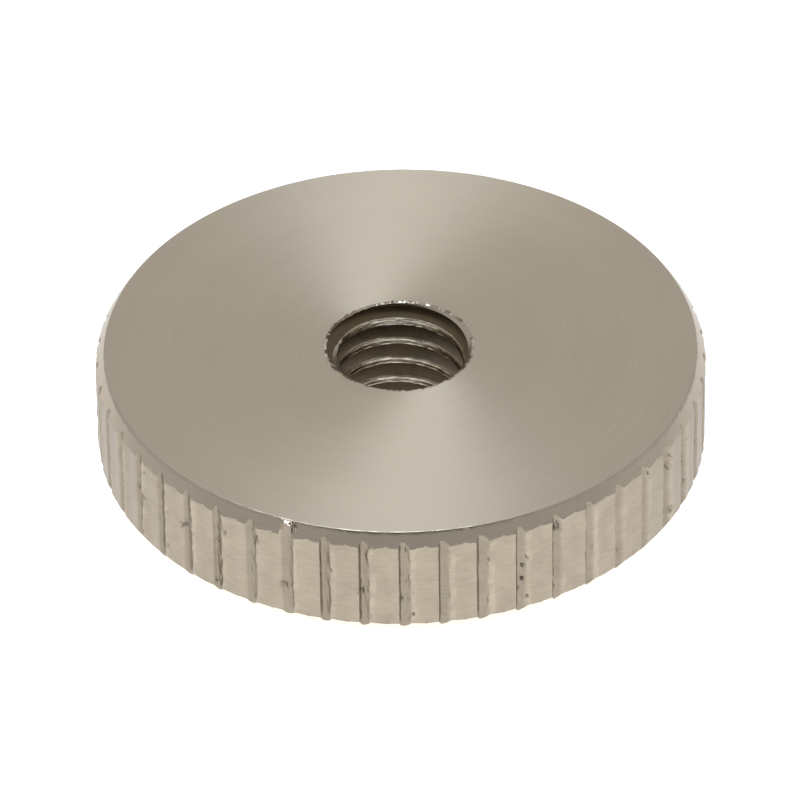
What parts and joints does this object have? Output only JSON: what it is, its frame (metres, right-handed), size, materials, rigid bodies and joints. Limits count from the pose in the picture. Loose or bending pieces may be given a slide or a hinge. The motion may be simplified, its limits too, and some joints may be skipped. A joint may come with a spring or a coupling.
{
  "type": "thumb nut",
  "caption": "Flat round thumb nut with a straight-knurled, chamfered rim and a right-hand metric thread straight through its middle.",
  "frame": {"origin": "centre of the lower face, on the thread's axis", "axes": "+Z along the thread's axis, from the lower face towards the upper face; +X towards the place where the thread's crest runs out of the upper face"},
  "size_m": [0.02, 0.02, 0.004],
  "materials": {
    "turned_steel": "bare turned stainless steel, fine concentric tool marks, satin"
  },
  "bodies": {
    "root": {"thumb_nut": "turned_steel"}
  },
  "joints": []
}
